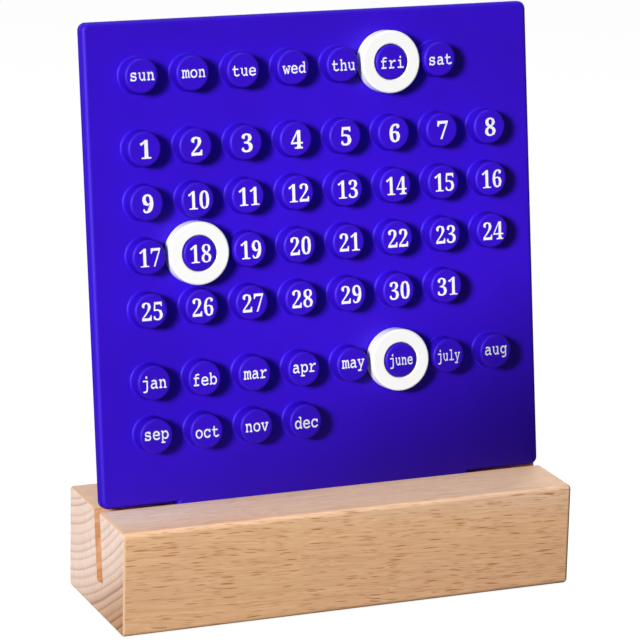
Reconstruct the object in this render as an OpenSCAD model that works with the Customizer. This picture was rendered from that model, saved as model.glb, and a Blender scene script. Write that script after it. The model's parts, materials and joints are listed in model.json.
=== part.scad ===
// Perpetual desk calendar: a moulded panel of pegs stands in a leaning slot in a
// beech block, and three loose rings mark the day, the date and the month.
// Millimetres. X runs along the block, Y from its front to its back, Z up, and the
// origin is the centre of the block's underside.

/* [Block] */
// How far the block reaches past the panel at each end
block_overhang = 1.1; // [0:0.1:20]
// Depth of the block from front to back
block_d = 49.5; // [44:0.5:90]
// Height of the block
block_h = 32; // [28:0.5:60]
// Radius of the block's four upright edges
block_corner = 2; // [1.6:0.1:6]
// Rounding of the block's top and bottom edges
block_edge = 1.5; // [0.4:0.1:1.5]

/* [Slot] */
// Lean of the panel, and of the slot that holds it, in degrees
lean = 8.5; // [0:0.5:14]
// Distance from the block's front to the panel's face, along the top of the block
setback = 21.8; // [18:0.2:26]
// Depth of the slot along its lean
slot_depth = 21.6; // [14:0.2:24]
// Gap between the tongue and each wall of the slot
slot_clearance = 0.1; // [0.05:0.05:0.4]

/* [Panel] */
// Thickness of the panel and of its tongue
panel_t = 5.1; // [4:0.1:6]
// Radius of the panel's corners
panel_corner = 2.3; // [2:0.1:12]
// Rounding of the panel's front and back edges
panel_edge = 1.5; // [0.3:0.1:1.7]
// Distance from the outer columns of pegs to the panel's side edges
side_margin = 16.2; // [12:0.1:30]
// Distance from the row of days to the panel's top edge
top_margin = 16.1; // [12:0.1:40]
// Distance from the last row of months to the panel's lower edge
bottom_margin = 21.7; // [12:0.1:40]
// Gap between the panel's shoulders and the top of the block
shoulder_gap = 0.4; // [0.3:0.1:3]
// Width of the shoulder at each side of the tongue
shoulder_w = 24; // [6:1:40]
// Radius of the tongue's lower corners
tongue_corner = 2.5; // [1.8:0.1:8]
// Gap between the tongue's lower edge and the floor of the slot
tongue_seat = 0.1; // [0.05:0.05:0.5]

/* [Pegs] */
// Pegs in a full row
columns = 8; // [7:1:12]
// Distance between neighbouring pegs, along a row and from row to row
pitch = 16; // [16:0.5:24]
// Distance between the days and the dates, and between the dates and the months
group_gap = 21.5; // [20:0.5:40]
// Diameter of a peg at its root
peg_d = 10.7; // [8:0.1:11]
// Height of a peg above the panel's face
peg_h = 5.6; // [4:0.1:10]
// Draft that lets the pegs leave the mould, in degrees
peg_draft = 1; // [0:0.25:3]
// Radius of the fillet round a peg's root
peg_fillet = 0.8; // [0.3:0.1:0.9]
// Rounding of a peg's top edge
peg_round = 0.8; // [0.2:0.1:1.2]

/* [Rings] */
// Outer diameter of a marker ring
ring_d = 19; // [16:0.1:19]
// Thickness of a ring
ring_t = 5.2; // [3:0.1:10]
// Rounding of a ring's outer edges
ring_edge = 0.6; // [0.2:0.1:1.2]
// Bevel at the front of a ring's bore
ring_bevel = 0.3; // [0.1:0.1:0.8]
// Gap all round between a ring's bore and a peg's root
ring_clearance = 0.1; // [0.05:0.05:0.3]
// Gap between a ring's back and the panel's face
ring_seat = 0.1; // [0.05:0.05:0.5]

/* [Date shown] */
// Day that the day ring is on, counted from sunday
day_shown = 6; // [1:1:7]
// Date that the date ring is on
date_shown = 18; // [1:1:31]
// Month that the month ring is on
month_shown = 6; // [1:1:12]

/* [Hidden] */
$fn = 64;
days = 7;
dates = 31;
months = 12;

// Rows, counted up the panel from the top of the block
date_rows = ceil(dates / columns);
month_rows = ceil(months / columns);
month_row = shoulder_gap + bottom_margin + (month_rows - 1) * pitch;
date_row = month_row + group_gap + (date_rows - 1) * pitch;
day_row = date_row + group_gap;

panel_w = (columns - 1) * pitch + 2 * side_margin;
panel_top = day_row + top_margin;
panel_h = panel_top - shoulder_gap;
tongue_w = panel_w - 2 * shoulder_w;
tongue_reach = slot_depth - tongue_seat;
block_w = panel_w + 2 * block_overhang;

cut = 1; // how far a cutting shape runs past the surface that it opens
fillet_dip = 0.07 * peg_fillet; // sinks a fillet's foot, so it meets the face at an angle
relief = peg_fillet; // bevel at the back of a ring's bore, which clears the fillet

// Places children on the panel: X along it, Y up it from the top of the block and
// Z out of its front face.
module on_panel() {
    translate([0, setback - block_d / 2, block_h])
        rotate([90 - lean, 0, 0])
            children();
}

// Places children on the peg that stands for one number of a group, counted from 1.
module on_peg(number, first_row) {
    place = number - 1;
    column = place % columns;
    row = floor(place / columns);
    translate([(column - (columns - 1) / 2) * pitch, first_row - row * pitch, 0])
        children();
}

// A quarter of a disc, in the quadrant that its two signs give.
module quarter_disc(r, sx, sy) {
    intersection() {
        circle(r);
        translate([sx < 0 ? -r : 0, sy < 0 ? -r : 0]) square(r);
    }
}

// Half of a plate's section: flat from the axis outwards, with a rounded rim.
module rim_profile(reach, t, edge) {
    square([reach - edge, t]);
    translate([reach - edge, edge]) square([edge, t - 2 * edge]);
    translate([reach - edge, edge]) quarter_disc(edge, 1, -1);
    translate([reach - edge, t - edge]) quarter_disc(edge, 1, 1);
}

// A plate centred on the origin and standing on Z = 0, with rounded corners and rims.
module rounded_plate(w, h, t, corner, edge) {
    inner_w = w - 2 * corner;
    inner_h = h - 2 * corner;
    translate([-inner_w / 2, -inner_h / 2, 0]) cube([inner_w, inner_h, t]);
    for (turn = [0:3]) {
        upright = turn % 2 == 0;
        sx = turn == 0 || turn == 3 ? 1 : -1;
        sy = turn < 2 ? 1 : -1;
        translate([sx * inner_w / 2, sy * inner_h / 2, 0]) rotate(90 * turn) {
            rotate_extrude(angle = 90) rim_profile(corner, t, edge);
            rotate([90, 0, 0])
                linear_extrude(upright ? inner_h : inner_w) rim_profile(corner, t, edge);
        }
    }
}

// Half of a peg's section: root fillet, drafted wall and rounded top edge.
module peg_profile() {
    root_r = peg_d / 2;
    top_r = root_r - peg_h * tan(peg_draft);
    foot_r = root_r + peg_fillet;
    waist = peg_fillet - fillet_dip;
    difference() {
        translate([0, -peg_fillet]) square([foot_r, peg_fillet + waist]);
        translate([foot_r, waist]) circle(peg_fillet);
    }
    polygon([[0, waist], [root_r, waist], [top_r, peg_h - peg_round], [0, peg_h - peg_round]]);
    translate([0, peg_h - peg_round]) square([top_r - peg_round, peg_round]);
    translate([top_r - peg_round, peg_h - peg_round]) quarter_disc(peg_round, 1, 1);
}

module pegs(count, first_row) {
    for (number = [1:count]) on_peg(number, first_row) rotate_extrude() peg_profile();
}

// The tongue under the panel, with rounded corners and rims so that it enters the slot.
module tongue() {
    root = shoulder_gap + 2 * panel_corner; // runs up into the plate, past its rounded rim
    h = tongue_reach + root;
    translate([0, root - h / 2, -panel_t])
        rounded_plate(tongue_w, h, panel_t, tongue_corner, panel_edge);
}

module slot() {
    slot_t = panel_t + 2 * slot_clearance;
    translate([-block_w / 2 - cut, -slot_depth, -panel_t - slot_clearance])
        cube([block_w + 2 * cut, slot_depth + panel_t, slot_t]);
}

module marker_ring(number, first_row) {
    bore_r = peg_d / 2 + ring_clearance;
    on_panel() on_peg(number, first_row) translate([0, 0, ring_seat]) difference() {
        rotate_extrude() rim_profile(ring_d / 2, ring_t, ring_edge);
        translate([0, 0, -cut]) cylinder(r = bore_r, h = ring_t + 2 * cut);
        translate([0, 0, -cut])
            cylinder(r1 = bore_r + relief + cut, r2 = bore_r, h = relief + cut);
        translate([0, 0, ring_t - ring_bevel])
            cylinder(r1 = bore_r, r2 = bore_r + ring_bevel + cut, h = ring_bevel + cut);
    }
}

module base_block() {
    color("#DDB68C") difference() {
        rounded_plate(block_w, block_d, block_h, block_corner, block_edge);
        on_panel() slot();
    }
}

module calendar_panel() {
    color("#2C12C0") on_panel() {
        translate([0, shoulder_gap + panel_h / 2, -panel_t])
            rounded_plate(panel_w, panel_h, panel_t, panel_corner, panel_edge);
        tongue();
        pegs(days, day_row);
        pegs(dates, date_row);
        pegs(months, month_row);
    }
}

module day_ring() {
    color("#F4F4F2") marker_ring(day_shown, day_row);
}

module date_ring() {
    color("#F4F4F2") marker_ring(date_shown, date_row);
}

module month_ring() {
    color("#F4F4F2") marker_ring(month_shown, month_row);
}

base_block();
calendar_panel();
day_ring();
date_ring();
month_ring();
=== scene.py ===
import json
import math

import bmesh
import bpy
from mathutils import Matrix, Quaternion, Vector


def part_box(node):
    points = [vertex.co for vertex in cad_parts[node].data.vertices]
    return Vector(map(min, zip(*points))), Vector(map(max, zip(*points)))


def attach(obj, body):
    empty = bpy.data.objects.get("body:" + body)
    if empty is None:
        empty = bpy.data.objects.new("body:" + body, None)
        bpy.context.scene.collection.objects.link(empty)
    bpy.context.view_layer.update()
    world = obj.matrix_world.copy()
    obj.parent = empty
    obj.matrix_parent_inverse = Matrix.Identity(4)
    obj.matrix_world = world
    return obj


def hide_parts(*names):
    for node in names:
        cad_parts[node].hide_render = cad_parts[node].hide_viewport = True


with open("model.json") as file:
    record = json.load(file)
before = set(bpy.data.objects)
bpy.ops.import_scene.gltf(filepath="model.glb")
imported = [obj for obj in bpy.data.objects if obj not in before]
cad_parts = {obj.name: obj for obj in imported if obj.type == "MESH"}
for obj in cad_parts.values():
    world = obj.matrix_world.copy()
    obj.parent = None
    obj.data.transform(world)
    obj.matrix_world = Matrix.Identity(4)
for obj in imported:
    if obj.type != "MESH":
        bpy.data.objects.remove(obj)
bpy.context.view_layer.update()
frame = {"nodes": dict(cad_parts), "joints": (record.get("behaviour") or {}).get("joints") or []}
mm = 0.001  # one millimetre in Blender's metres
white = (1, 1, 1, 1)
print("frame loaded")


def linear(hexColour):
    # an sRGB hex colour as linear red, green, blue and alpha
    values = [int(hexColour[i:i + 2], 16) / 255 for i in (1, 3, 5)]
    return [v / 12.92 if v <= 0.04045 else ((v + 0.055) / 1.055) ** 2.4 for v in values] + [1]


def addNode(tree, kind, inputs=None, **settings):
    # an input is a value, a socket, or a node, which stands for its first live output
    made = tree.nodes.new(kind)
    for name, value in settings.items():
        setattr(made, name, value)
    for key, value in (inputs or {}).items():
        if isinstance(value, bpy.types.Node):
            value = next(socket for socket in value.outputs if socket.enabled)
        if isinstance(value, bpy.types.NodeSocket):
            tree.links.new(value, made.inputs[key])
        else:
            made.inputs[key].default_value = value
    return made


def newMaterial(name):
    material = bpy.data.materials.new(name)
    material.use_nodes = True
    material.node_tree.nodes.clear()
    return material, material.node_tree


def inMillimetres(tree):
    # the place on the piece, so that patterns are sized in millimetres
    place = addNode(tree, "ShaderNodeTexCoord").outputs["Object"]
    return addNode(tree, "ShaderNodeVectorMath", {0: place, "Scale": 1 / mm}, operation="SCALE")


axes = {joint["name"]: Vector(joint["axis"]) for joint in frame["joints"]}
panelUp = axes["panel_lift"]
panelOut = axes["day_ring_lift"]
blockLow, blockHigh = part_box("base_block")

grid = {                # the panel and its pegs, in mm
    "setback": 21.8,    # from the block's front to the panel's face, along the block's top
    "columns": 8,
    "pitch": 16.0,
    "thickness": 5.1,
    "pegHeight": 5.6,
    "pegFillet": 0.8,
    "dayRow": 129.1,    # first rows, measured up the panel from the block's top
    "dateRow": 107.6,
    "monthRow": 38.1,
}
panelOrigin = Vector((0, blockLow.y + grid["setback"] * mm, blockHigh.z))
panelFrame = Matrix((
    (1, 0, 0, 0),
    (0, panelUp.y, panelOut.y, panelOrigin.y),
    (0, panelUp.z, panelOut.z, panelOrigin.z),
    (0, 0, 0, 1),
)) @ Matrix.Scale(mm, 4)    # from millimetres across, up and off the panel's face


smoothly = {"interpolation_type": "SMOOTHSTEP"}     # for a Map Range node

beechLook = {       # sizes in mm
    "flat": "#DFB286", "blush": "#DCAE86",      # planed faces, in two close tones
    "sapAndSheen": "#E4CAB4", "lowerShade": "#B58D6D",       # the palest wood, partly sapwood and partly painted sheen, and the darkest tone, which is painted shade
    "end": "#E5CEC0", "edgeShade": "#C6A282",      # sawn ends, and painted shade on the eased edges round them
    "ringLine": "#A67F68", "dash": "#965212",   # the end of a year, and a ray seen lengthways
    "kerf": "#DAA179", "kerfDeep": "#BE8253",   # the sawn slot
    "endTurn": (0.75, 0.97),        # how far a face turns endwards, from long grain to end grain
    "edgeShadeFrom": (0.1, 0.4), "edgeShadeTo": (0.85, 0.995),    # and where that painted edge shade comes and goes
    "topTurn": (0.4, 0.9),          # how far it turns upwards, from a side to the top
    "ringCentre": (60.0, 137.0),    # the tree's middle, from the middle of the block's underside
    "ringWidth": 2.7,               # one year's growth
    "widthChange": 0.7,             # how quickly the years' widths change, per year
    # how dark a year is at each share of it
    "yearTones": ((0.0, 0.3), (0.12, 0.0), (0.45, 0.1), (0.72, 0.4), (0.88, 1.0), (0.95, 0.9)),
    "faintYear": 0.35,              # how dark the faintest year gets
    "ringDepth": (0.5, 0.95),       # and all of them, away from the painted shade and in it
    "ringOnFaces": 0.15,            # the share of that on the planed faces
    "grainFall": 0.05,              # how much the grain drops along the block
    "wanderSize": (50.0, 33.333, 33.333), "wander": 4.0, "endWander": 2.5,  # slow bends of the grain
    "rippleSize": (20.0, 4.0, 4.0), "ripple": 1.2,                          # and quick ones
    "sapAndSheenOut": (129.0, 141.0, 0.0),      # where the pale sapwood and painted sheen fade to a share: from the tree's middle,
    "sapAndSheenAlong": (-72.0, -22.0, 0.5),    # along the block
    "sapAndSheenBack": (-8.0, 2.0, 0.4),        # and towards its back
    "lowerShadeOut": (134.0, 158.0), "lowerShadeOnFaces": 0.22,   # where the painted shade comes in, lower down and towards the front, and its share on the planed faces
    "dashLength": 9.5, "dashDepth": 0.62,       # room for one dash
    "dashSizes": ((1.0, 1.0), (0.75, 0.65)),    # shares of that room, and how dark each is
    "dashFill": (0.24, 0.41),                   # how much of its room a dash fills
    "dashShown": (0.05, 0.6), "dashEdge": 0.55, "dashMix": 0.72,    # how many, how soft, how strong
    "dashOnTop": 0.35,                          # few show on the top
    "crowdSize": (33.333, 11.111, 11.111), "crowding": 0.5,     # where they crowd, and how much
    "rayRadius": 110.0, "raySize": (0.6, 7.0, 4.0),     # fine lines across the years
    "fibreSize": (18.0, 0.4, 0.4),      # real fibres are finer than the eye can see from here
    "cloudSize": (40.0, 12.0, 12.0),
    "fibreSpan": (0.3, 0.7), "raySpan": (0.35, 0.7), "cloudSpan": (0.35, 0.7), "streakSpan": (0.35, 0.65),
    "fibreTone": (-0.115, 0.065), "rayTone": (-0.06, 0.03),     # darker and lighter by
    "warmth": (1.0, 1.25, 1.6),     # a darker fibre is a warmer one
    "kerfMix": 0.85,
    "kerfBeside": 0.2, "kerfBelow": 0.3,    # past the panel's faces, and down from the slot's mouth
    "bump": 0.25, "bumpDepth": 0.05, "fibreHeight": 0.35,
    "roughness": (0.45, 0.65),
}


def beechGrain(tree, place, spot):
    # where the grain's fall and bends move each place, on the planed faces and on the ends
    look = beechLook
    bends = []
    for size in (look["wanderSize"], look["rippleSize"]):
        cell = addNode(tree, "ShaderNodeVectorMath", {0: place, 1: size}, operation="DIVIDE")
        cloud = addNode(tree, "ShaderNodeTexNoise", {"Vector": cell, "Scale": 1.0, "Detail": 1.0})
        bends.append(addNode(tree, "ShaderNodeVectorMath", {0: cloud.outputs["Color"], 1: (0.5, 0.5, 0.5)},
                             operation="SUBTRACT"))
    drop = addNode(tree, "ShaderNodeMath", {0: spot["X"], 1: look["grainFall"]}, operation="MULTIPLY")
    fall = addNode(tree, "ShaderNodeCombineXYZ", {"Z": drop})
    level = addNode(tree, "ShaderNodeVectorMath", {0: place, 1: fall}, operation="ADD")
    for bend, reach in zip(bends, (look["wander"], look["ripple"])):
        level = addNode(tree, "ShaderNodeVectorMath", {0: bend, 1: (0, reach, reach), 2: level},
                        operation="MULTIPLY_ADD")
    onEnd = addNode(tree, "ShaderNodeVectorMath", {
        0: bends[0], 1: (0, look["endWander"], look["endWander"]), 2: place}, operation="MULTIPLY_ADD")
    return level, onEnd


def beechYears(tree, place):
    # growth rings: each year darkens to its end, and the next one starts pale
    look = beechLook
    off = addNode(tree, "ShaderNodeVectorMath", {0: place, 1: (0, *look["ringCentre"])},
                  operation="SUBTRACT")
    across = addNode(tree, "ShaderNodeVectorMath", {0: off, 1: (0, 1, 1)}, operation="MULTIPLY")
    radius = addNode(tree, "ShaderNodeVectorMath", {0: across}, operation="LENGTH")
    even = addNode(tree, "ShaderNodeMath", {0: radius, 1: look["ringWidth"]}, operation="DIVIDE")
    spread = addNode(tree, "ShaderNodeTexNoise", {
        "Vector": addNode(tree, "ShaderNodeCombineXYZ", {"X": even}), "Scale": look["widthChange"],
        "Detail": 0.0})
    years = addNode(tree, "ShaderNodeMath", {0: even, 1: spread}, operation="ADD")
    season = addNode(tree, "ShaderNodeMath", {0: years}, operation="FRACT")
    late = addNode(tree, "ShaderNodeValToRGB", {0: season})
    stops = late.color_ramp.elements
    stops.remove(stops[-1])     # a new ramp has two
    for part, tone in look["yearTones"]:
        stop = stops[0] if part == 0 else stops.new(part)
        stop.color = (tone, tone, tone, 1)
    count = addNode(tree, "ShaderNodeMath", {0: years}, operation="FLOOR")
    chance = addNode(tree, "ShaderNodeTexWhiteNoise", {"W": count}, noise_dimensions="1D")
    faint = look["faintYear"]
    strength = addNode(tree, "ShaderNodeMath", {0: chance, 1: 1 - faint, 2: faint},
                       operation="MULTIPLY_ADD")
    line = addNode(tree, "ShaderNodeMath", {0: late, 1: strength}, operation="MULTIPLY")
    return off, radius, line


def beechRays(tree, off, radius, spot):
    # fine lines that run outwards from the tree's middle
    look = beechLook
    part = addNode(tree, "ShaderNodeSeparateXYZ", {0: off}).outputs
    turn = addNode(tree, "ShaderNodeMath", {0: part["Y"], 1: part["Z"]}, operation="ARCTAN2")
    arc = addNode(tree, "ShaderNodeMath", {0: turn, 1: look["rayRadius"]}, operation="MULTIPLY")
    place = addNode(tree, "ShaderNodeCombineXYZ", {"X": arc, "Y": radius, "Z": spot["X"]})
    cell = addNode(tree, "ShaderNodeVectorMath", {0: place, 1: look["raySize"]}, operation="DIVIDE")
    return addNode(tree, "ShaderNodeTexNoise", {"Vector": cell, "Scale": 1.0, "Roughness": 0.6})


def beechDashes(tree, place, level):
    # the same rays seen lengthways: short dark dashes in two sizes, that crowd here and there
    look = beechLook
    cell = addNode(tree, "ShaderNodeVectorMath", {0: place, 1: look["crowdSize"]}, operation="DIVIDE")
    crowd = addNode(tree, "ShaderNodeTexNoise", {"Vector": cell, "Scale": 1.0})
    crowding = addNode(tree, "ShaderNodeMath", {
        0: crowd, 1: look["crowding"], 2: -look["crowding"] / 2}, operation="MULTIPLY_ADD")
    least, most = look["dashFill"]
    layers = []
    for share, strength in look["dashSizes"]:
        length, depth = look["dashLength"] * share, look["dashDepth"] * share
        cell = addNode(tree, "ShaderNodeVectorMath", {0: level, 1: (length, depth, depth)},
                       operation="DIVIDE")
        dashes = addNode(tree, "ShaderNodeTexVoronoi", {"Vector": cell, "Scale": 1.0})
        luck = addNode(tree, "ShaderNodeSeparateXYZ", {0: dashes.outputs["Color"]}).outputs
        chance = addNode(tree, "ShaderNodeMath", {0: luck["X"], 1: crowding}, operation="ADD")
        shown = addNode(tree, "ShaderNodeMapRange", {
            0: chance, 1: look["dashShown"][0], 2: look["dashShown"][1]}, **smoothly)
        fill = addNode(tree, "ShaderNodeMath", {0: luck["Y"], 1: most - least, 2: least},
                       operation="MULTIPLY_ADD")
        out = addNode(tree, "ShaderNodeMath", {0: dashes.outputs["Distance"], 1: fill}, operation="DIVIDE")
        core = addNode(tree, "ShaderNodeMath", {0: 1.0, 1: out}, operation="SUBTRACT", use_clamp=True)
        body = addNode(tree, "ShaderNodeMapRange", {0: core, 1: 0.0, 2: look["dashEdge"]}, **smoothly)
        fleck = addNode(tree, "ShaderNodeMath", {0: body, 1: shown}, operation="MULTIPLY")
        layers.append(addNode(tree, "ShaderNodeMath", {0: fleck, 1: strength}, operation="MULTIPLY"))
    return addNode(tree, "ShaderNodeMath", {0: layers[0], 1: layers[1]}, operation="MAXIMUM")


def beechSlot(tree, spot, longGrain):
    # 1 on the walls and floor of the sawn slot, which leans with the panel, and 0 elsewhere
    parts = []
    for axis, start, lean in (("Y", panelOrigin.y, panelOut.y), ("Z", panelOrigin.z, panelOut.z)):
        away = addNode(tree, "ShaderNodeMath", {0: spot[axis], 1: start / mm}, operation="SUBTRACT")
        parts.append(addNode(tree, "ShaderNodeMath", {0: away, 1: lean}, operation="MULTIPLY"))
    offFace = addNode(tree, "ShaderNodeMath", {0: parts[0], 1: parts[1]}, operation="ADD")
    half = grid["thickness"] / 2
    offMiddle = addNode(tree, "ShaderNodeMath", {0: offFace, 1: half}, operation="ADD")
    fromMiddle = addNode(tree, "ShaderNodeMath", {0: offMiddle}, operation="ABSOLUTE")
    between = addNode(tree, "ShaderNodeMath", {0: fromMiddle, 1: half + beechLook["kerfBeside"]},
                      operation="LESS_THAN")
    below = addNode(tree, "ShaderNodeMath", {0: spot["Z"], 1: blockHigh.z / mm - beechLook["kerfBelow"]},
                    operation="LESS_THAN")
    inside = addNode(tree, "ShaderNodeMath", {0: between, 1: longGrain}, operation="MULTIPLY")
    return addNode(tree, "ShaderNodeMath", {0: inside, 1: below}, operation="MULTIPLY")


def beech():
    # planed, oiled beech: pale and matt, with short dark dashes along it and its years on the sawn ends
    look = beechLook
    material, tree = newMaterial("oiledBeech")
    place = inMillimetres(tree)
    normal = addNode(tree, "ShaderNodeTexCoord").outputs["Normal"]
    spot = addNode(tree, "ShaderNodeSeparateXYZ", {0: place}).outputs
    facing = addNode(tree, "ShaderNodeSeparateXYZ", {0: normal}).outputs
    aside = addNode(tree, "ShaderNodeMath", {0: facing["X"]}, operation="ABSOLUTE")
    low, high = look["endTurn"]
    endGrain = addNode(tree, "ShaderNodeMapRange", {0: aside, 1: low, 2: high}, **smoothly)
    longGrain = addNode(tree, "ShaderNodeMath", {0: 1.0, 1: endGrain}, operation="SUBTRACT")

    level, onEnd = beechGrain(tree, place, spot)
    calm = addNode(tree, "ShaderNodeMix", {0: endGrain, 4: level, 5: onEnd}, data_type="VECTOR")
    off, radius, ringLine = beechYears(tree, calm)
    rays = beechRays(tree, off, radius, spot)
    low, high = look["topTurn"]
    fewer = addNode(tree, "ShaderNodeMapRange", {
        0: facing["Z"], 1: low, 2: high, 3: 1.0, 4: look["dashOnTop"]}, **smoothly)
    seen = addNode(tree, "ShaderNodeMath", {0: longGrain, 1: fewer}, operation="MULTIPLY")
    dash = addNode(tree, "ShaderNodeMath", {0: beechDashes(tree, place, level), 1: seen},
                   operation="MULTIPLY")
    cell = addNode(tree, "ShaderNodeVectorMath", {0: level, 1: look["fibreSize"]}, operation="DIVIDE")
    fibre = addNode(tree, "ShaderNodeTexNoise", {
        "Vector": cell, "Scale": 1.0, "Detail": 3.0, "Roughness": 0.6})

    # planed faces: two close tones, paler at the top, the front and the left end, partly sapwood and partly
    # painted sheen, and a little painted shade lower down
    cell = addNode(tree, "ShaderNodeVectorMath", {0: place, 1: look["cloudSize"]}, operation="DIVIDE")
    cloud = addNode(tree, "ShaderNodeTexNoise", {"Vector": cell, "Scale": 1.0})
    low, high = look["cloudSpan"]
    blush = addNode(tree, "ShaderNodeMapRange", {0: cloud, 1: low, 2: high}, **smoothly)
    colour = addNode(tree, "ShaderNodeMix", {
        0: blush, 6: linear(look["flat"]), 7: linear(look["blush"])}, data_type="RGBA")
    # the palest tone is partly sapwood and partly painted sheen: paler at the top, the front and the left
    # end
    sapAndSheenShare = 1.0
    for where, fade in ((radius, "sapAndSheenOut"), (spot["X"], "sapAndSheenAlong"), (spot["Y"], "sapAndSheenBack")):
        start, end, rest = look[fade]
        part = addNode(tree, "ShaderNodeMapRange", {0: where, 1: start, 2: end, 3: 1.0, 4: rest},
                       **smoothly)
        sapAndSheenShare = addNode(tree, "ShaderNodeMath", {0: sapAndSheenShare, 1: part}, operation="MULTIPLY")
    colour = addNode(tree, "ShaderNodeMix", {0: sapAndSheenShare, 6: colour, 7: linear(look["sapAndSheen"])},
                     data_type="RGBA")
    # painted shade: darker lower down and towards the front, by distance from the tree's middle
    low, high = look["lowerShadeOut"]
    lowerShade = addNode(tree, "ShaderNodeMapRange", {0: radius, 1: low, 2: high}, **smoothly)
    lowerShadeOnFaces = addNode(tree, "ShaderNodeMath", {0: lowerShade, 1: look["lowerShadeOnFaces"]},
                           operation="MULTIPLY")
    colour = addNode(tree, "ShaderNodeMix", {0: lowerShadeOnFaces, 6: colour, 7: linear(look["lowerShade"])},
                     data_type="RGBA")

    # sawn ends, darker lower down with painted shade, and the years, which show most in that shade
    endColour = addNode(tree, "ShaderNodeMix", {
        0: lowerShade, 6: linear(look["end"]), 7: linear(look["lowerShade"])}, data_type="RGBA")
    colour = addNode(tree, "ShaderNodeMix", {0: endGrain, 6: colour, 7: endColour}, data_type="RGBA")
    pale, deep = look["ringDepth"]
    ringDepth = addNode(tree, "ShaderNodeMath", {0: lowerShade, 1: deep - pale, 2: pale},
                        operation="MULTIPLY_ADD")
    onFaces = addNode(tree, "ShaderNodeMath", {
        0: endGrain, 1: 1 - look["ringOnFaces"], 2: look["ringOnFaces"]}, operation="MULTIPLY_ADD")
    ringShare = addNode(tree, "ShaderNodeMath", {0: ringDepth, 1: onFaces}, operation="MULTIPLY")
    ringMix = addNode(tree, "ShaderNodeMath", {0: ringLine, 1: ringShare}, operation="MULTIPLY")
    colour = addNode(tree, "ShaderNodeMix", {0: ringMix, 6: colour, 7: linear(look["ringLine"])},
                     data_type="RGBA", blend_type="MULTIPLY")

    # fibres on the faces and rays on the ends
    tones = []
    for pattern, span, reach in ((fibre, "fibreSpan", "fibreTone"), (rays, "raySpan", "rayTone")):
        (low, high), (darker, lighter) = look[span], look[reach]
        tones.append(addNode(tree, "ShaderNodeMapRange", {
            0: pattern, 1: low, 2: high, 3: darker, 4: lighter}, **smoothly))
    tone = addNode(tree, "ShaderNodeMix", {0: endGrain, 2: tones[0], 3: tones[1]}, data_type="FLOAT")
    tint = addNode(tree, "ShaderNodeVectorMath", {0: tone, 1: look["warmth"], 2: (1, 1, 1)},
                   operation="MULTIPLY_ADD")
    colour = addNode(tree, "ShaderNodeVectorMath", {0: colour, 1: tint}, operation="MULTIPLY")
    dashMix = addNode(tree, "ShaderNodeMath", {0: dash, 1: look["dashMix"]}, operation="MULTIPLY")
    colour = addNode(tree, "ShaderNodeMix", {0: dashMix, 6: colour, 7: linear(look["dash"])},
                     data_type="RGBA")

    # painted shade: the eased edges round each end are drawn a little darker
    low, high = look["edgeShadeFrom"]
    turned = addNode(tree, "ShaderNodeMapRange", {0: aside, 1: low, 2: high}, **smoothly)
    low, high = look["edgeShadeTo"]
    notYet = addNode(tree, "ShaderNodeMapRange", {0: aside, 1: low, 2: high, 3: 1.0, 4: 0.0}, **smoothly)
    edgeShade = addNode(tree, "ShaderNodeMath", {0: turned, 1: notYet}, operation="MULTIPLY")
    colour = addNode(tree, "ShaderNodeMix", {0: edgeShade, 6: colour, 7: linear(look["edgeShade"])},
                     data_type="RGBA")

    # the sawn slot is darker than the planed faces
    low, high = look["streakSpan"]
    streak = addNode(tree, "ShaderNodeMapRange", {0: rays, 1: low, 2: high}, **smoothly)
    kerf = addNode(tree, "ShaderNodeMix", {
        0: streak, 6: linear(look["kerf"]), 7: linear(look["kerfDeep"])}, data_type="RGBA")
    kerfMix = addNode(tree, "ShaderNodeMath", {0: beechSlot(tree, spot, longGrain), 1: look["kerfMix"]},
                      operation="MULTIPLY")
    colour = addNode(tree, "ShaderNodeMix", {0: kerfMix, 6: colour, 7: kerf}, data_type="RGBA")

    # relief: the dashes are a little open, and the fibres stand up
    raised = addNode(tree, "ShaderNodeMath", {0: fibre, 1: look["fibreHeight"]}, operation="MULTIPLY")
    height = addNode(tree, "ShaderNodeMath", {0: raised, 1: dash}, operation="SUBTRACT")
    bump = addNode(tree, "ShaderNodeBump", {
        "Strength": look["bump"], "Distance": look["bumpDepth"] * mm, "Height": height})
    smooth, rough = look["roughness"]
    roughness = addNode(tree, "ShaderNodeMath", {0: fibre, 1: rough - smooth, 2: smooth},
                        operation="MULTIPLY_ADD")
    shader = addNode(tree, "ShaderNodeBsdfPrincipled", {
        "Base Color": colour, "Roughness": roughness, "IOR": 1.45, "Specular IOR Level": 0.3,
        "Normal": bump})
    addNode(tree, "ShaderNodeOutputMaterial", {"Surface": shader})
    return material


blueLook = {
    # the last colour is painted shade on the pegs' walls
    "colour": "#3609CE", "deeper": "#3408C6", "pegWallShade": "#2E08B9",
    "grain": 0.22,                  # mm: the eroded texture, a little coarser than the real one
    "swirl": 30.0,                  # mm: slow changes of tone
    "swirlSpan": (0.35, 0.65),
    "wallTurn": (0.15, 0.5),        # how far a face turns to the front, from a peg's wall to its top
    "bump": 0.12, "bumpDepth": 0.02, "roughness": (0.47, 0.53),
}


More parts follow.
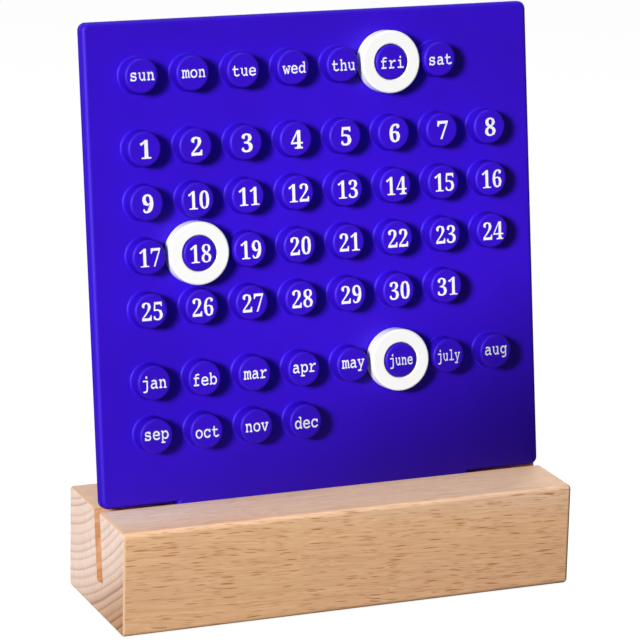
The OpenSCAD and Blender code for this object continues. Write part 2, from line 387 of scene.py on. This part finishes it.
def bluePlastic():
    # moulded ABS from a spark-eroded tool: satin, one even colour but for painted shade on the pegs' walls,
    # with highlights only on the rims
    look = blueLook
    material, tree = newMaterial("satinBlueAbs")
    place = inMillimetres(tree)
    normal = addNode(tree, "ShaderNodeTexCoord").outputs["Normal"]
    grain = addNode(tree, "ShaderNodeTexNoise", {"Vector": place, "Scale": 1 / look["grain"], "Detail": 1.0})
    swirl = addNode(tree, "ShaderNodeTexNoise", {"Vector": place, "Scale": 1 / look["swirl"]})
    low, high = look["swirlSpan"]
    tone = addNode(tree, "ShaderNodeMapRange", {0: swirl, 1: low, 2: high}, **smoothly)
    colour = addNode(tree, "ShaderNodeMix", {
        0: tone, 6: linear(look["colour"]), 7: linear(look["deeper"])}, data_type="RGBA")

    # painted shade: the pegs' walls are drawn a little darker than their tops
    fromFace = addNode(tree, "ShaderNodeVectorMath", {0: place, 1: panelOrigin / mm}, operation="SUBTRACT")
    above = addNode(tree, "ShaderNodeVectorMath", {0: fromFace, 1: panelOut}, operation="DOT_PRODUCT")
    risen = addNode(tree, "ShaderNodeMapRange", {
        0: above, 1: grid["pegFillet"] / 2, 2: grid["pegFillet"]}, **smoothly)
    facing = addNode(tree, "ShaderNodeVectorMath", {0: normal, 1: panelOut}, operation="DOT_PRODUCT")
    square = addNode(tree, "ShaderNodeMath", {0: facing}, operation="ABSOLUTE")
    low, high = look["wallTurn"]
    upright = addNode(tree, "ShaderNodeMapRange", {0: square, 1: low, 2: high, 3: 1.0, 4: 0.0}, **smoothly)
    paintedWallShade = addNode(tree, "ShaderNodeMath", {0: risen, 1: upright}, operation="MULTIPLY")
    colour = addNode(tree, "ShaderNodeMix", {0: paintedWallShade, 6: colour, 7: linear(look["pegWallShade"])},
                     data_type="RGBA")

    bump = addNode(tree, "ShaderNodeBump", {
        "Strength": look["bump"], "Distance": look["bumpDepth"] * mm, "Height": grain})
    smooth, rough = look["roughness"]
    roughness = addNode(tree, "ShaderNodeMath", {0: grain, 1: rough - smooth, 2: smooth},
                        operation="MULTIPLY_ADD")
    shader = addNode(tree, "ShaderNodeBsdfPrincipled", {
        "Base Color": colour, "Roughness": roughness, "IOR": 1.48, "Specular IOR Level": 0.22,
        "Normal": bump})
    addNode(tree, "ShaderNodeOutputMaterial", {"Surface": shader})
    return material


whiteLook = {
    "colour": "#FAFAF9", "paler": "#FCFCFB",
    "grain": 0.25,      # mm: the sanded texture, coarser than the real one
    "swirl": 8.333,     # mm: slow changes of tone
    "bump": 0.1, "bumpDepth": 0.02, "roughness": (0.38, 0.46),
}


def whitePlastic():
    # moulded ABS from a finely sanded tool: white and smooth matt, with soft edges
    look = whiteLook
    material, tree = newMaterial("mattWhiteAbs")
    place = inMillimetres(tree)
    grain = addNode(tree, "ShaderNodeTexNoise", {"Vector": place, "Scale": 1 / look["grain"], "Detail": 1.0})
    tone = addNode(tree, "ShaderNodeTexNoise", {"Vector": place, "Scale": 1 / look["swirl"], "Detail": 1.0})
    colour = addNode(tree, "ShaderNodeMix", {
        0: tone, 6: linear(look["colour"]), 7: linear(look["paler"])}, data_type="RGBA")
    bump = addNode(tree, "ShaderNodeBump", {
        "Strength": look["bump"], "Distance": look["bumpDepth"] * mm, "Height": grain})
    smooth, rough = look["roughness"]
    roughness = addNode(tree, "ShaderNodeMath", {0: grain, 1: rough - smooth, 2: smooth},
                        operation="MULTIPLY_ADD")
    shader = addNode(tree, "ShaderNodeBsdfPrincipled", {
        "Base Color": colour, "Roughness": roughness, "IOR": 1.48, "Normal": bump})
    addNode(tree, "ShaderNodeOutputMaterial", {"Surface": shader})
    return material


inkLook = {"thin": "#F6F6F9", "full": "#FCFCFD", "patch": 0.4, "roughness": 0.5}   # patch: mm


def whiteInk():
    # pad-printed ink: a matt white film, a little thinner in places
    look = inkLook
    material, tree = newMaterial("padPrintedInk")
    film = addNode(tree, "ShaderNodeTexNoise", {"Vector": inMillimetres(tree), "Scale": 1 / look["patch"]})
    colour = addNode(tree, "ShaderNodeMix", {
        0: film, 6: linear(look["thin"]), 7: linear(look["full"])}, data_type="RGBA")
    shader = addNode(tree, "ShaderNodeBsdfPrincipled", {
        "Base Color": colour, "Roughness": look["roughness"], "IOR": 1.46})
    addNode(tree, "ShaderNodeOutputMaterial", {"Surface": shader})
    return material


materials = {"beech": beech(), "blue": bluePlastic(), "white": whitePlastic(), "ink": whiteInk()}
for nodeName, materialName in (("calendar_panel", "blue"), ("day_ring", "white"),
                               ("date_ring", "white"), ("month_ring", "white")):
    slots = frame["nodes"][nodeName].data.materials
    slots.clear()
    slots.append(materials[materialName])
print("materials made")


blockLook = {               # in mm and degrees
    "longEdge": 1.4,        # rounding of the long edges
    "leftEdge": 0.7,        # rounding of the sawn ends' edges
    "rightEdge": 1.2,
    "edgeSteps": 8,         # flat strips in each rounding
    "sanded": 0.25,         # taken off each sawn end
    "slotDepth": 21.6,
    "slotGap": 0.1,         # between the panel and each wall of the slot
    "creaseAngle": 35.0,    # past which an edge is drawn sharp
}


def slotPoint(off, drop=None):
    # a point of a slot wall, off the panel's face: on the slot's floor, or at a drop below the block's top
    if drop is None:
        up = -blockLook["slotDepth"]
    else:
        up = (-drop - off * panelOut.z) / panelUp.z
    return (panelOrigin.y / mm + up * panelUp.y + off * panelOut.y,
            panelOrigin.z / mm + up * panelUp.z + off * panelOut.z)


def blockOutline(inset):
    # the section across the grain, from the bottom of the front, up it and round to the back
    look = blockLook
    radius = look["longEdge"]
    low, high = blockLow / mm, blockHigh / mm
    walls = (look["slotGap"], -grid["thickness"] - look["slotGap"])
    points = []
    for y, z, start in ((low.y + radius, low.z + radius, 270), (low.y + radius, high.z - radius, 180),
                        (high.y - radius, high.z - radius, 90), (high.y - radius, low.z + radius, 0)):
        for step in range(look["edgeSteps"] + 1):
            turn = math.radians(start - 90 * step / look["edgeSteps"])
            points.append((y + (radius - inset) * math.cos(turn), z + (radius - inset) * math.sin(turn)))
        if start == 180:
            points += [slotPoint(walls[0], inset), slotPoint(walls[0]), slotPoint(walls[1]),
                       slotPoint(walls[1], inset)]
    return points


def blockEnds():
    # each section's place along the block, and how far its outline is drawn in
    look = blockLook
    reach = blockHigh.x / mm - look["sanded"]
    sections = []
    for side, edge in ((-1, look["leftEdge"]), (1, look["rightEdge"])):
        for step in range(look["edgeSteps"] + 1):
            turn = math.radians(90 * step / look["edgeSteps"])
            sections.append((side * (reach - edge * (1 - math.sin(turn))), edge * (1 - math.cos(turn))))
    return sorted(sections)


def beechBlock():
    # one piece of beech with a slot from end to end, and edges eased more along it than at its ends
    steps = blockLook["edgeSteps"]
    shape = bmesh.new()
    rows = [[shape.verts.new(Vector((x, y, z)) * mm) for y, z in blockOutline(inset)]
            for x, inset in blockEnds()]
    count = len(rows[0])
    slotStart = 2 * (steps + 1)     # the outline's first slot point, of four
    for stretch, (first, second) in enumerate(zip(rows, rows[1:])):
        straight = stretch == steps     # the long stretch between the two rounded ends
        for i in range(count):
            j = (i + 1) % count
            face = shape.faces.new((first[i], first[j], second[j], second[i]))
            rounded = (i if i < slotStart else i - 4) % (steps + 1) != steps
            inSlot = slotStart <= i < slotStart + 3
            besideSlot = slotStart <= i < slotStart + 4
            face.smooth = not inSlot and (not straight or (rounded and not besideSlot))
    for row in (rows[0], rows[-1]):
        shape.faces.new(row)
    bmesh.ops.recalc_face_normals(shape, faces=shape.faces)
    for crease in shape.edges:
        crease.smooth = crease.calc_face_angle() < math.radians(blockLook["creaseAngle"])
    bmesh.ops.triangulate(shape, faces=[face for face in shape.faces if len(face.verts) > 4])
    mesh = bpy.data.meshes.new("beechBlock")
    shape.to_mesh(mesh)
    shape.free()
    mesh.materials.append(materials["beech"])
    piece = bpy.data.objects.new("beechBlock", mesh)
    bpy.context.scene.collection.objects.link(piece)
    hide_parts("base_block")
    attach(piece, "base")
    return piece


block = beechBlock()
print("block made")


def pegPrint():
    # cuts one long string into words, and prints one word on each peg, row by row
    tree = bpy.data.node_groups.new("pegPrint", "GeometryNodeTree")
    sockets = tree.interface
    for name, kind in (("Text", "String"), ("Letters", "Int"), ("Count", "Int"), ("Skip", "Int"),
                       ("Columns", "Int"), ("Pitch", "Float"), ("First Peg", "Vector"), ("Size", "Float"),
                       ("Width", "Float"), ("Stretch", "Float"), ("Shrink", "Float"),
                       ("Weight", "Vector"), ("Film", "Float"), ("Weld", "Float"), ("Ink", "Material")):
        sockets.new_socket(name, in_out="INPUT", socket_type="NodeSocket" + kind)
    sockets.new_socket("Print", in_out="OUTPUT", socket_type="NodeSocketGeometry")
    given = addNode(tree, "NodeGroupInput").outputs

    start = addNode(tree, "GeometryNodeRepeatInput")
    end = addNode(tree, "GeometryNodeRepeatOutput")
    start.pair_with_output(end)
    tree.links.new(given["Count"], start.inputs["Iterations"])
    turn = start.outputs["Iteration"]

    # one word's outline, thinned or thickened by the weight
    cut = addNode(tree, "ShaderNodeMath", {0: turn, 1: given["Letters"]}, operation="MULTIPLY")
    word = addNode(tree, "FunctionNodeSliceString", {
        "String": given["Text"], "Position": cut, "Length": given["Letters"]})
    curves = addNode(tree, "GeometryNodeStringToCurves", {"String": word, "Size": given["Size"]})
    outline = addNode(tree, "GeometryNodeRealizeInstances", {0: curves})
    poly = addNode(tree, "GeometryNodeCurveSplineType", {0: outline}, spline_type="POLY")
    tangent = addNode(tree, "GeometryNodeInputTangent")
    aside = addNode(tree, "ShaderNodeVectorMath", {0: tangent, 1: (0, 0, 1)}, operation="CROSS_PRODUCT")
    push = addNode(tree, "ShaderNodeVectorMath", {0: aside, 1: given["Weight"]}, operation="MULTIPLY")
    weighted = addNode(tree, "GeometryNodeSetPosition", {"Geometry": poly, "Offset": push})
    flat = addNode(tree, "GeometryNodeFillCurve", {0: weighted})

    # centred on its own outline, and squeezed or stretched to the word width
    bound = addNode(tree, "GeometryNodeBoundBox", {0: flat}).outputs
    ends = addNode(tree, "ShaderNodeVectorMath", {0: bound["Min"], 1: bound["Max"]}, operation="ADD")
    back = addNode(tree, "ShaderNodeVectorMath", {0: ends, "Scale": -0.5}, operation="SCALE")
    centred = addNode(tree, "GeometryNodeTransform", {"Geometry": flat, "Translation": back})
    span = addNode(tree, "ShaderNodeVectorMath", {0: bound["Max"], 1: bound["Min"]}, operation="SUBTRACT")
    wide = addNode(tree, "ShaderNodeSeparateXYZ", {0: span}).outputs["X"]
    room = addNode(tree, "ShaderNodeMath", {0: given["Width"], 1: wide}, operation="DIVIDE")
    squeeze = addNode(tree, "ShaderNodeMath", {0: room, 1: given["Stretch"]}, operation="MINIMUM")
    keep = addNode(tree, "ShaderNodeMath", {0: 1.0, 1: given["Shrink"]}, operation="SUBTRACT")
    height = addNode(tree, "ShaderNodeMapRange", {      # a long word is printed lower too
        0: squeeze, 1: 0.0, 2: given["Stretch"], 3: keep, 4: 1.0})
    scale = addNode(tree, "ShaderNodeCombineXYZ", {"X": squeeze, "Y": height, "Z": 1.0})

    # its peg, counted along the rows from the first one
    number = addNode(tree, "ShaderNodeMath", {0: turn, 1: given["Skip"]}, operation="ADD")
    column = addNode(tree, "ShaderNodeMath", {0: number, 1: given["Columns"]}, operation="MODULO")
    rows = addNode(tree, "ShaderNodeMath", {0: number, 1: given["Columns"]}, operation="DIVIDE")
    row = addNode(tree, "ShaderNodeMath", {0: rows}, operation="FLOOR")
    down = addNode(tree, "ShaderNodeMath", {0: row, 1: -1.0}, operation="MULTIPLY")
    steps = addNode(tree, "ShaderNodeCombineXYZ", {"X": column, "Y": down})
    spot = addNode(tree, "ShaderNodeVectorMath", {0: steps, 1: given["Pitch"], 2: given["First Peg"]},
                   operation="MULTIPLY_ADD")
    placed = addNode(tree, "GeometryNodeTransform", {
        "Geometry": centred, "Translation": spot, "Scale": scale})

    thick = addNode(tree, "GeometryNodeExtrudeMesh", {
        "Mesh": placed, "Offset Scale": given["Film"], "Individual": False})
    under = addNode(tree, "GeometryNodeFlipFaces", {0: placed})
    joined = addNode(tree, "GeometryNodeJoinGeometry")
    for part in (under.outputs[0], thick.outputs[0], start.outputs["Geometry"]):
        tree.links.new(part, joined.inputs[0])
    tree.links.new(joined.outputs[0], end.inputs["Geometry"])
    welded = addNode(tree, "GeometryNodeMergeByDistance", {
        "Geometry": end.outputs["Geometry"], "Distance": given["Weld"]})
    real = addNode(tree, "GeometryNodeRealizeInstances", {0: welded})
    inked = addNode(tree, "GeometryNodeSetMaterial", {"Geometry": real, "Material": given["Ink"]})
    addNode(tree, "NodeGroupOutput", {0: inked})
    return tree


def inType(text):
    # slab letters and heavy roman figures, from the built-in typeface's mathematical sets
    slabStart, heavyStart = 0x1D68A, 0x1D7CE
    letters = {chr(ord("a") + i): chr(slabStart + i) for i in range(26)}
    figures = {str(i): chr(heavyStart + i) for i in range(10)}
    return "".join({**letters, **figures}.get(sign, sign) for sign in text)


printLook = {           # in mm; a name with a capital is an input of the tree
    "sink": 0.01,       # how far the ink reaches into the peg's top
    "Film": 0.05,       # the ink's thickness
    "Weld": 0.0005,
    "Skip": 0,          # pegs left out before the first word
}
# Width: room on a peg. Stretch: the widest that letters are drawn. Shrink: how much lower a long word gets
wordLook = {"Size": 5.6, "Width": 7.5, "Stretch": 0.88, "Shrink": 0.4, "Weight": (-0.05, -0.05, 0)}
figureLook = {"Size": 7.7, "Width": 7.2, "Shrink": 0.0}
dayNames = ["sun", "mon", "tue", "wed", "thu", "fri", "sat"]
monthNames = ["jan", "feb", "mar", "apr", "may", "june", "july", "aug", "sep", "oct", "nov", "dec"]
prints = {      # shift is each word's offset from its peg's middle
    "dayNames": {
        **wordLook, "words": dayNames, "Letters": 3, "row": "dayRow", "shift": (0.13, -0.12)},
    "datesOneToNine": {
        **figureLook, "words": [str(date) for date in range(1, 10)], "Letters": 1, "row": "dateRow",
        "shift": (0.18, -0.05), "Stretch": 0.93, "Weight": (-0.02, -0.02, 0)},
    "datesTenOn": {
        **figureLook, "words": [str(date) for date in range(10, 32)], "Letters": 2, "row": "dateRow",
        "shift": (0.18, -0.05), "Stretch": 0.83, "Weight": (0.04, 0.04, 0), "Skip": 9},
    "monthNames": {
        **wordLook, "words": monthNames, "Letters": 4, "row": "monthRow", "shift": (0, -0.24),
        "Size": 6.2},
}


def printLabels(name, tree, look):
    # one group's words as a plain mesh on the tops of its pegs
    firstPeg = (look["shift"][0] - (grid["columns"] - 1) / 2 * grid["pitch"],
                look["shift"][1] + grid[look["row"]], 0)
    words = [word.ljust(look["Letters"]) for word in look["words"]]
    values = {**printLook, **look, "Text": inType("".join(words)), "Count": len(words),
              "Columns": grid["columns"], "Pitch": grid["pitch"], "First Peg": firstPeg,
              "Ink": materials["ink"]}
    holder = bpy.data.objects.new(name + "Maker", bpy.data.meshes.new(name + "Maker"))
    bpy.context.scene.collection.objects.link(holder)
    modifier = holder.modifiers.new("print", "NODES")
    modifier.node_group = tree
    for item in tree.interface.items_tree:
        if item.in_out == "INPUT":
            modifier[item.identifier] = values[item.name]
    ready = holder.evaluated_get(bpy.context.evaluated_depsgraph_get())
    mesh = bpy.data.meshes.new_from_object(ready)
    mesh.name = name
    bpy.data.objects.remove(holder)
    mesh.transform(panelFrame @ Matrix.Translation((0, 0, grid["pegHeight"] - printLook["sink"])))
    piece = bpy.data.objects.new(name, mesh)
    bpy.context.scene.collection.objects.link(piece)
    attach(piece, "panel")
    return piece


printTree = pegPrint()
labels = [printLabels(name, printTree, look) for name, look in prints.items()]
print("labels printed")


stageLook = {
    "floor": "#A2A2A0",
    "floorRadius": 1.6, "floorCorners": 96,     # metres
    "floorGlow": 0.92,      # brings the floor to white for the camera, with the lamps' own light
    "sky": 0.03,            # the world's light on the object
    "mirrored": 0.6,        # the backdrop's strength in reflections
}


def whiteFloor():
    look = stageLook
    bpy.ops.mesh.primitive_circle_add(vertices=look["floorCorners"], radius=look["floorRadius"],
                                      fill_type="NGON")
    floor = bpy.context.object
    floor.name = "floor"
    material, tree = newMaterial("paleFloor")
    rays = addNode(tree, "ShaderNodeLightPath").outputs
    matt = addNode(tree, "ShaderNodeBsdfDiffuse", {"Color": linear(look["floor"])})
    strength = addNode(tree, "ShaderNodeMath", {0: rays["Is Camera Ray"], 1: look["floorGlow"]},
                       operation="MULTIPLY")
    glow = addNode(tree, "ShaderNodeEmission", {"Color": white, "Strength": strength})
    both = addNode(tree, "ShaderNodeAddShader", {0: matt, 1: glow})
    addNode(tree, "ShaderNodeOutputMaterial", {"Surface": both})
    floor.data.materials.append(material)
    return floor


def whiteSky():
    # white where it is looked at, and a faint light on the object
    look = stageLook
    world = bpy.data.worlds.new("studio")
    bpy.context.scene.world = world
    world.use_nodes = True
    tree = world.node_tree
    tree.nodes.clear()
    rays = addNode(tree, "ShaderNodeLightPath").outputs
    direct = addNode(tree, "ShaderNodeMath", {0: rays["Is Camera Ray"], 1: rays["Is Transmission Ray"]},
                     operation="MAXIMUM")
    seen = addNode(tree, "ShaderNodeMath", {0: rays["Is Glossy Ray"], 1: look["mirrored"], 2: direct},
                   operation="MULTIPLY_ADD", use_clamp=True)
    level = addNode(tree, "ShaderNodeMath", {0: seen, 1: 1 - look["sky"], 2: look["sky"]},
                    operation="MULTIPLY_ADD")
    back = addNode(tree, "ShaderNodeBackground", {"Color": white, "Strength": level})
    addNode(tree, "ShaderNodeOutputWorld", {"Surface": back})


def grouped(name, members):
    group = bpy.data.collections.new(name)
    for member in members:
        group.objects.link(member)
    return group


def addLamp(name, kind, place, target, lit, shading, **settings):
    data = bpy.data.lights.new(name, kind)
    for key, value in settings.items():
        setattr(data, key, value)
    lamp = bpy.data.objects.new(name, data)
    bpy.context.scene.collection.objects.link(lamp)
    lamp.location = place
    lamp.rotation_euler = (Vector(target) - Vector(place)).to_track_quat("-Z", "Y").to_euler()
    lamp.light_linking.receiver_collection = grouped(name + "Lit", lit)
    lamp.light_linking.blocker_collection = grouped(name + "Shading", shading)
    return lamp


spotLook = {    # direction, metres away and metres in radius, watts, and the cone in degrees
    "panelKey": {"from": (-0.738, -0.605, 0.298), "reach": 1.2, "radius": 0.155, "power": 103.0,
                 "cone": 20.9, "blend": 1.0},
    "ringKey": {"from": (-0.738, -0.605, 0.298), "reach": 3.0, "radius": 0.33, "power": 490.0,
                "cone": 40.0, "blend": 0.5},
    "blockKey": {"from": (-0.74, -0.56, 0.38), "reach": 1.7, "radius": 0.188, "power": 170.0,
                 "cone": 40.0, "blend": 0.5},
}
softLook = {    # discs, with their place and width in metres, and watts
    "overhead": {"place": (0, -0.1, 1.4), "width": 1.0, "power": 7.0},
    "rimLight": {"place": (0, 0.15, 1.4), "width": 1.0, "power": 5.5},
    "rearLight": {"place": (0.72, 1.0, 0.2), "width": 0.8, "power": 18.0},
}
panelAim = panelFrame @ Vector((28.5, 72, 0))   # right of the panel's middle, in mm
blockAim = (blockLow + blockHigh) / 2
flagLook = {
    "edge": (-21, 0, 0),    # where the card's edge falls on the panel, in mm
    "tilt": 23.4,           # and its slope there, in degrees
    "reach": 0.2135,        # metres from the panel
    "size": 0.4,            # metres: half its width, and its depth
}


def addFlag():
    # a card near the panel takes the key lamp off its lower right corner
    look = flagLook
    fromLamp = Vector(spotLook["panelKey"]["from"]).normalized()
    tilt = math.radians(look["tilt"])
    along = (Vector((1, 0, 0)) * math.cos(tilt) + panelUp * math.sin(tilt)).normalized()
    away = along.cross(fromLamp).normalized()
    if away.z > 0:
        away = -away
    middle = panelFrame @ Vector(look["edge"]) + fromLamp * look["reach"]
    corners = [middle + (along * side + away * down) * look["size"]
               for side, down in ((-1, 0), (1, 0), (1, 1), (-1, 1))]
    mesh = bpy.data.meshes.new("flag")
    mesh.from_pydata([tuple(corner) for corner in corners], [], [(0, 1, 2, 3)])
    card = bpy.data.objects.new("flag", mesh)
    bpy.context.scene.collection.objects.link(card)
    for kind in ("camera", "diffuse", "glossy", "transmission", "volume_scatter"):
        setattr(card, "visible_" + kind, False)
    return card


def addLights(floor, card):
    nodes = frame["nodes"]
    rings = [nodes["day_ring"], nodes["date_ring"], nodes["month_ring"]]
    panelFace = [nodes["calendar_panel"], *labels]
    onPanel = [*panelFace, *rings]
    everything = [block, *onPanel]
    spots = {"panelKey": (panelAim, panelFace, [*everything, card]),
             "ringKey": (panelAim, rings, everything),
             "blockKey": (blockAim, [block], everything)}
    for name, (aim, lit, shading) in spots.items():
        look = spotLook[name]
        addLamp(name, "SPOT", aim + Vector(look["from"]).normalized() * look["reach"], aim, lit, shading,
                energy=look["power"], shadow_soft_size=look["radius"],
                spot_size=math.radians(look["cone"]), spot_blend=look["blend"])
    discs = {"overhead": (Vector(), [block, floor]),
             "rimLight": (Vector(), onPanel),
             "rearLight": (blockAim, everything)}
    for name, (aim, lit) in discs.items():
        look = softLook[name]
        lamp = addLamp(name, "AREA", look["place"], aim, lit, everything,
                       energy=look["power"], shape="DISK", size=look["width"])
        lamp.visible_glossy = name != "rearLight"    # it would glare along the panel's top edge


whiteSky()
addLights(whiteFloor(), addFlag())
print("stage lit")

cameraLook = {"target": (-2.064, 0.0, 84.642), "azimuth": -22.9086, "elevation": 15.2834,
              "roll": 1.3331, "distance": 1008.85, "lens": 187.803, "sensor": 36.0}     # mm and degrees


def addCamera():
    look = cameraLook
    turn, rise = math.radians(look["azimuth"]), math.radians(look["elevation"])
    back = Vector((math.sin(turn) * math.cos(rise), -math.cos(turn) * math.cos(rise), math.sin(rise)))
    data = bpy.data.cameras.new("camera")
    data.lens = look["lens"]
    data.sensor_width = look["sensor"]
    camera = bpy.data.objects.new("camera", data)
    bpy.context.scene.collection.objects.link(camera)
    camera.location = (Vector(look["target"]) + back * look["distance"]) * mm
    camera.rotation_mode = "QUATERNION"
    camera.rotation_quaternion = ((-back).to_track_quat("-Z", "Y")
                                  @ Quaternion((0, 0, 1), math.radians(look["roll"])))
    bpy.context.scene.camera = camera


addCamera()
bpy.context.scene.view_settings.view_transform = "Standard"
print("camera placed")
